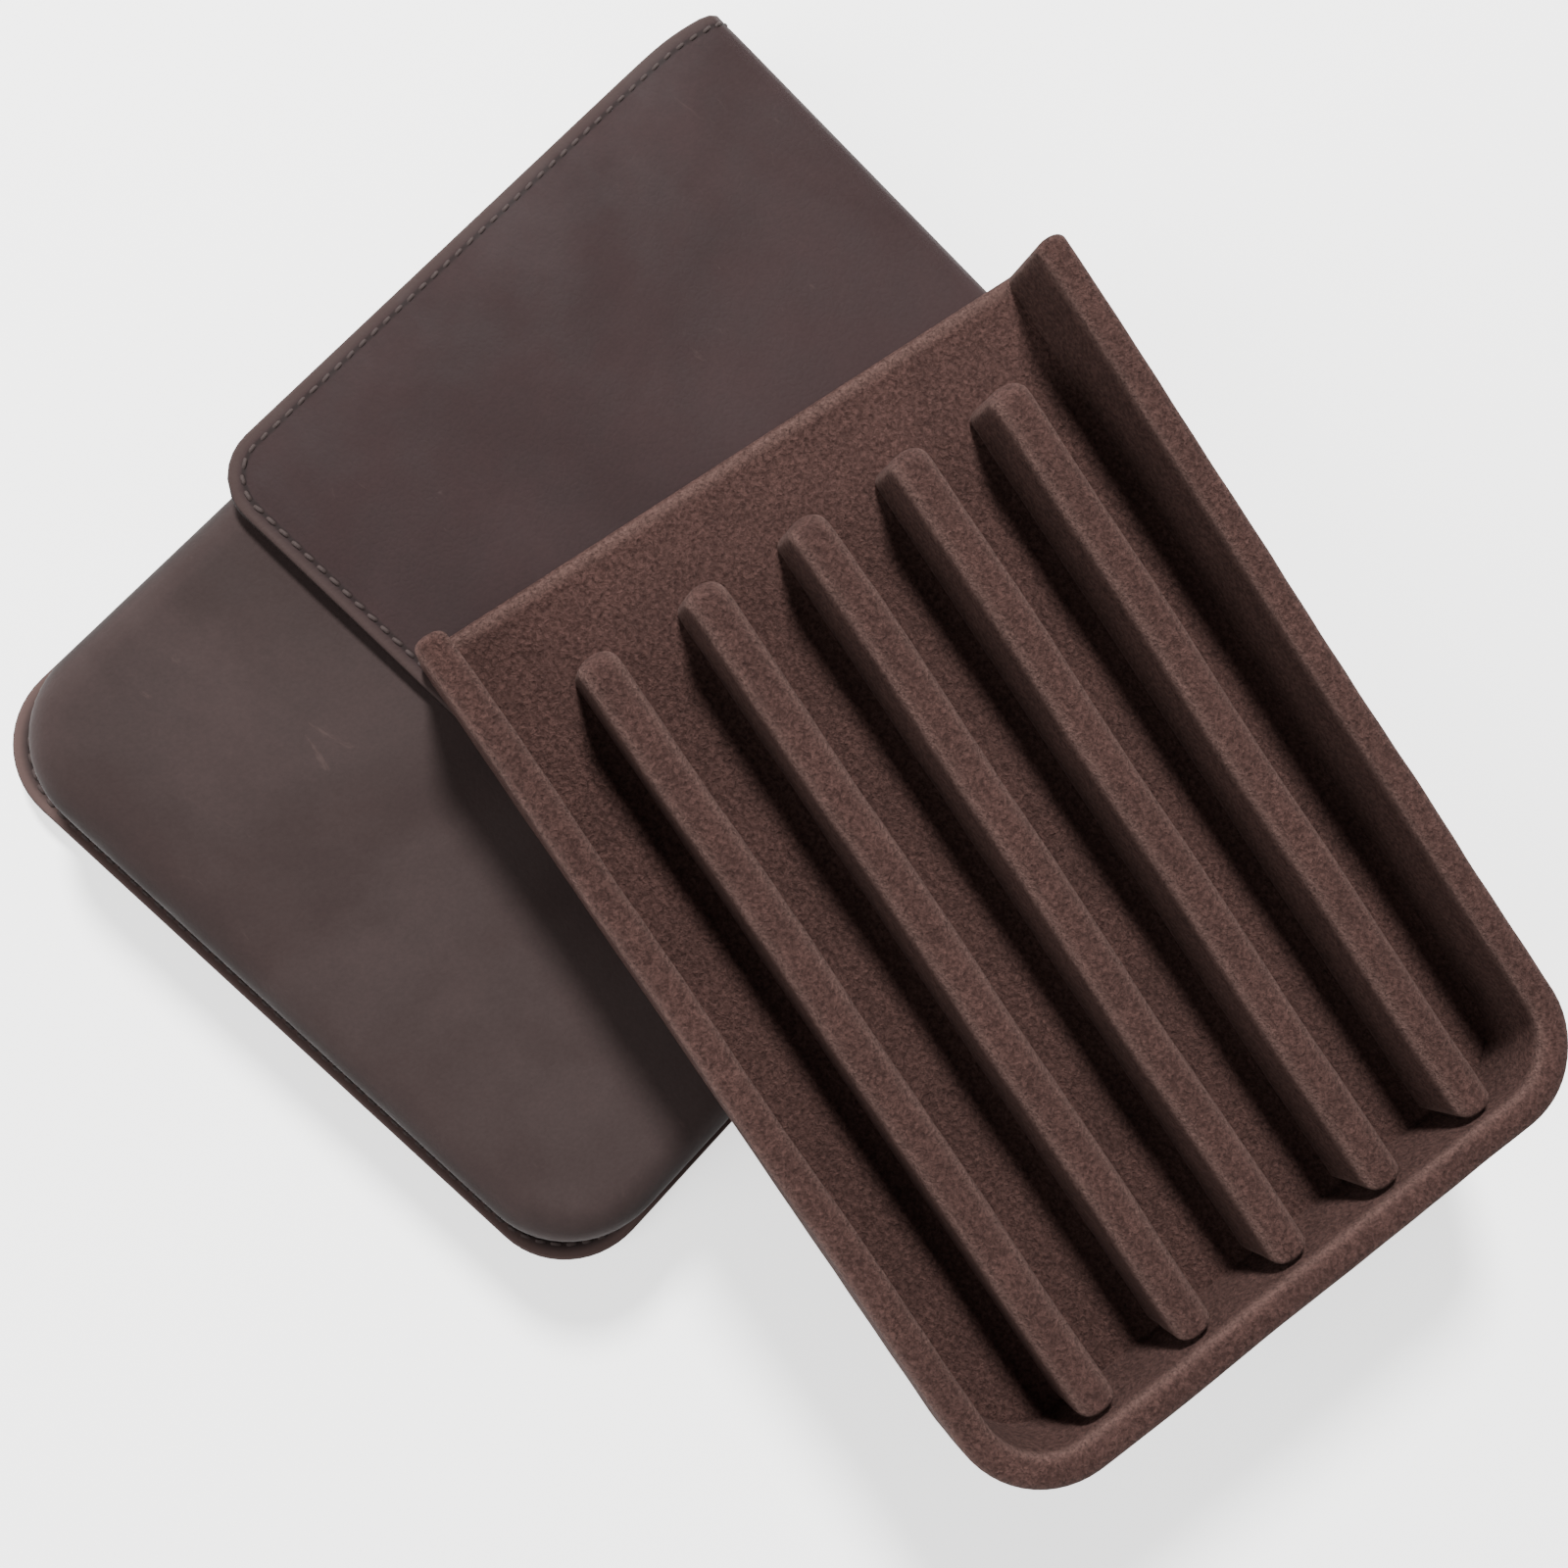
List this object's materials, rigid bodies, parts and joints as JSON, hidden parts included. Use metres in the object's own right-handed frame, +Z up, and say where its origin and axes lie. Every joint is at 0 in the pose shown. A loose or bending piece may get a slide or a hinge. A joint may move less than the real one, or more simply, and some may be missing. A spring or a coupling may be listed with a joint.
{
  "type": "pen case",
  "caption": "Leather pen case: a moulded pouch with a fold-over flap, and a suede-lined tray of long pen slots lying across the closed pouch.",
  "frame": {"origin": "centre of the closed pouch's flat base, on the table", "axes": "+Z up from the base; +Y along the pouch, towards its mouth and the fold of the flap; X across the pouch"},
  "size_m": [0.2186, 0.1726, 0.0471],
  "materials": {
    "leather": "smooth matte cowhide with a soft sheen and light rub marks",
    "lining": "thin suede",
    "tray_suede": "napped suede",
    "thread": "waxed thread",
    "board": "stiff grey-brown board",
    "magnet": "nickel plate"
  },
  "bodies": {
    "pouch": {"back_panel": "leather", "back_lining": "lining", "front_panel": "leather", "front_lining": "lining", "rim_stitching": "thread", "front_magnet_left": "magnet", "front_magnet_right": "magnet"},
    "spine": {"spine_panel": "leather", "spine_lining": "lining"},
    "flap": {"flap_panel": "leather", "flap_lining": "lining", "flap_stitching": "thread", "flap_magnet_left": "magnet", "flap_magnet_right": "magnet"},
    "tray": {"tray_under_cover": "tray_suede", "tray_base_board": "board", "tray_floor_lining": "tray_suede", "tray_wall_core": "board", "tray_wall_cover": "tray_suede", "divider_core_1": "board", "divider_core_2": "board", "divider_core_3": "board", "divider_core_4": "board", "divider_core_5": "board", "divider_cover_1": "tray_suede", "divider_cover_2": "tray_suede", "divider_cover_3": "tray_suede", "divider_cover_4": "tray_suede", "divider_cover_5": "tray_suede"}
  },
  "joints": [
    {"name": "tray_lift", "type": "slide", "parent": "pouch", "child": "tray", "axis": [0.6, 0, 0.8], "range_m": [0, 0.455]},
    {"name": "spine_crease", "type": "hinge", "parent": "pouch", "child": "spine", "pos_m": [0, 0.0827, 0.0008], "axis": [-1, 0, 0], "range_deg": [0, 90]},
    {"name": "flap_crease", "type": "hinge", "parent": "spine", "child": "flap", "pos_m": [0, 0.0827, 0.0267], "axis": [-1, 0, 0], "range_deg": [0, 90]}
  ],
  "couplings": [
    {"joint": "spine_crease", "follows": "tray_lift", "rad_per_m": 3.45},
    {"joint": "flap_crease", "follows": "tray_lift", "rad_per_m": 3.45}
  ]
}
